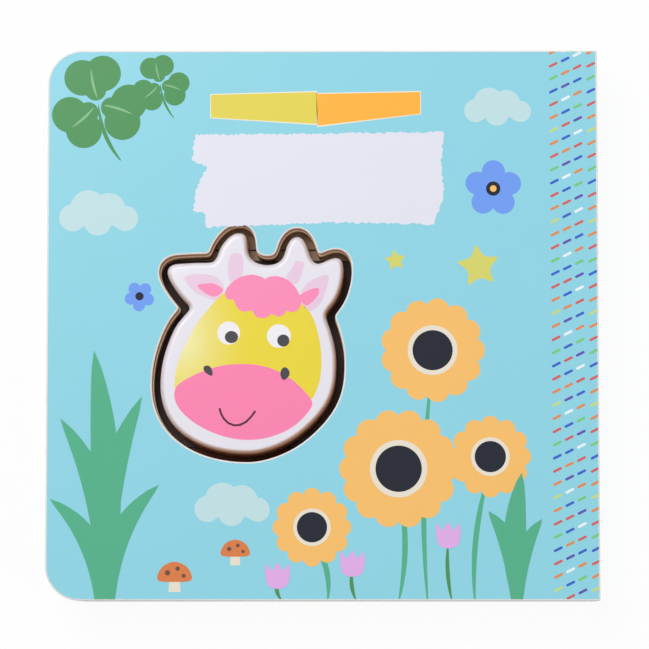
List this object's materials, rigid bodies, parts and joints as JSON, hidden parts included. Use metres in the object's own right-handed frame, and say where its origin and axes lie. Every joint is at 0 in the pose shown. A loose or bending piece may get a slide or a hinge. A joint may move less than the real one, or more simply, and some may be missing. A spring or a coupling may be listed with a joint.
{
  "type": "sound book",
  "caption": "Square children's board book with a hinged front cover, a die-cut well with a press-to-hear animal-head button, and a battery sound module in the back.",
  "frame": {"origin": "middle of the back cover's outer face, which rests on the table", "axes": "+X from the fore edge to the spine, +Y from the tail to the head of the cover, +Z out of the front cover"},
  "size_m": [0.2, 0.2, 0.0286],
  "materials": {
    "printed_board": "gloss",
    "page_board": "satin",
    "grey_board": "matte",
    "frame_board": "matte",
    "soft_vinyl": "gloss",
    "foam": "matte",
    "white_plastic": "satin",
    "silicone": "matte",
    "grey_plastic": "satin",
    "dark_plastic": "satin",
    "board_resin": "satin",
    "black_resin": "satin",
    "can_metal": "satin",
    "steel": "satin",
    "cone_film": "matte",
    "ferrite": "matte",
    "spring_brass": "satin",
    "red_lead": "satin",
    "black_lead": "satin"
  },
  "bodies": {
    "book": {"spine": "printed_board", "back_cover": "printed_board", "page_block": "page_board", "inner_board": "grey_board", "module_frame": "frame_board", "rubber_dome": "silicone", "case_back": "grey_plastic", "case_front": "dark_plastic", "circuit_board": "board_resin", "chip_blob": "black_resin", "capacitor": "can_metal", "resistor_1": "black_resin", "resistor_2": "black_resin", "resistor_3": "black_resin", "speaker_gasket": "foam", "speaker_frame": "steel", "speaker_cone": "cone_film", "speaker_magnet": "ferrite", "button_cell_1": "steel", "button_cell_2": "steel", "button_cell_3": "steel", "contact_link_1": "spring_brass", "contact_link_2": "spring_brass", "contact_positive": "spring_brass", "contact_negative": "spring_brass", "battery_door": "grey_plastic", "door_screw": "steel", "case_screw_1": "steel", "case_screw_2": "steel", "case_screw_3": "steel", "case_screw_4": "steel", "switch_housing": "steel", "battery_lead_red": "red_lead", "battery_lead_black": "black_lead", "speaker_lead_red": "red_lead", "speaker_lead_black": "black_lead"},
    "front_cover": {"front_cover": "printed_board"},
    "head_button": {"head_skin": "soft_vinyl", "head_foam": "foam", "head_plate": "white_plastic"},
    "switch_slider": {"switch_slider": "black_resin"}
  },
  "joints": [
    {"name": "cover_hinge", "type": "hinge", "parent": "book", "child": "front_cover", "pos_m": [0.1, 0, 0.02612], "axis": [0, 1, 0], "range_deg": [0, 180]},
    {"name": "head_press", "type": "slide", "parent": "book", "child": "head_button", "axis": [0, 0, -1], "range_m": [0, 0.0025], "stiffness_N_per_m": 1200, "springref_m": -0.0005, "deforming": ["rubber_dome"]},
    {"name": "switch_slide", "type": "slide", "parent": "book", "child": "switch_slider", "axis": [0, 1, 0], "range_m": [0, 0.003]}
  ]
}
